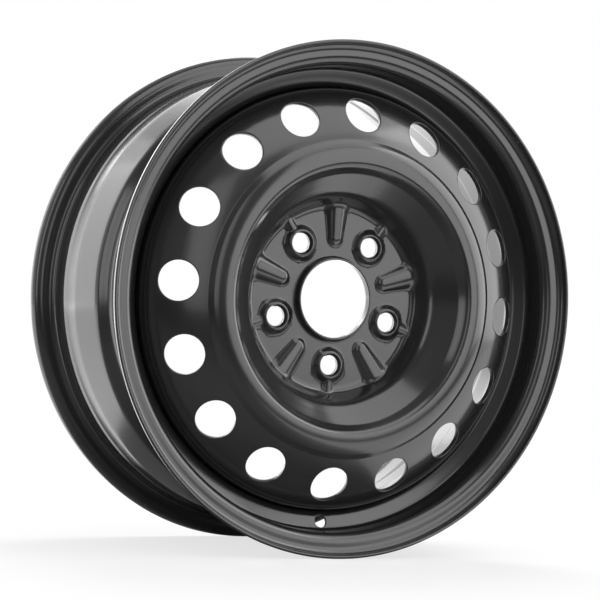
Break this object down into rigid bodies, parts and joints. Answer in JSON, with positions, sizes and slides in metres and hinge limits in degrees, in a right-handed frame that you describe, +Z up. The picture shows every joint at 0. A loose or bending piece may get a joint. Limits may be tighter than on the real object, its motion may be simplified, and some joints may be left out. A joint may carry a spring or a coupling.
{
  "type": "steel wheel rim",
  "caption": "Pressed steel road wheel: a rolled drop-centre rim welded to a domed disc with round vents, radial ribs, coned stud seats and a lipped hub bore.",
  "frame": {"origin": "centre of the hub bore, in the plane of the hub face on the disc's back", "axes": "+Y along the axle towards the vehicle, -Y out of the wheel's front, +Z up with the valve hole straight down"},
  "size_m": [0.4406, 0.1892, 0.4404],
  "materials": {
    "rim_paint": "satin black paint",
    "disc_paint": "satin black paint",
    "weld_paint": "satin black paint over a rough bead"
  },
  "bodies": {
    "root": {"rim": "rim_paint", "wheel_disc": "disc_paint", "weld_beads": "weld_paint"}
  },
  "joints": []
}
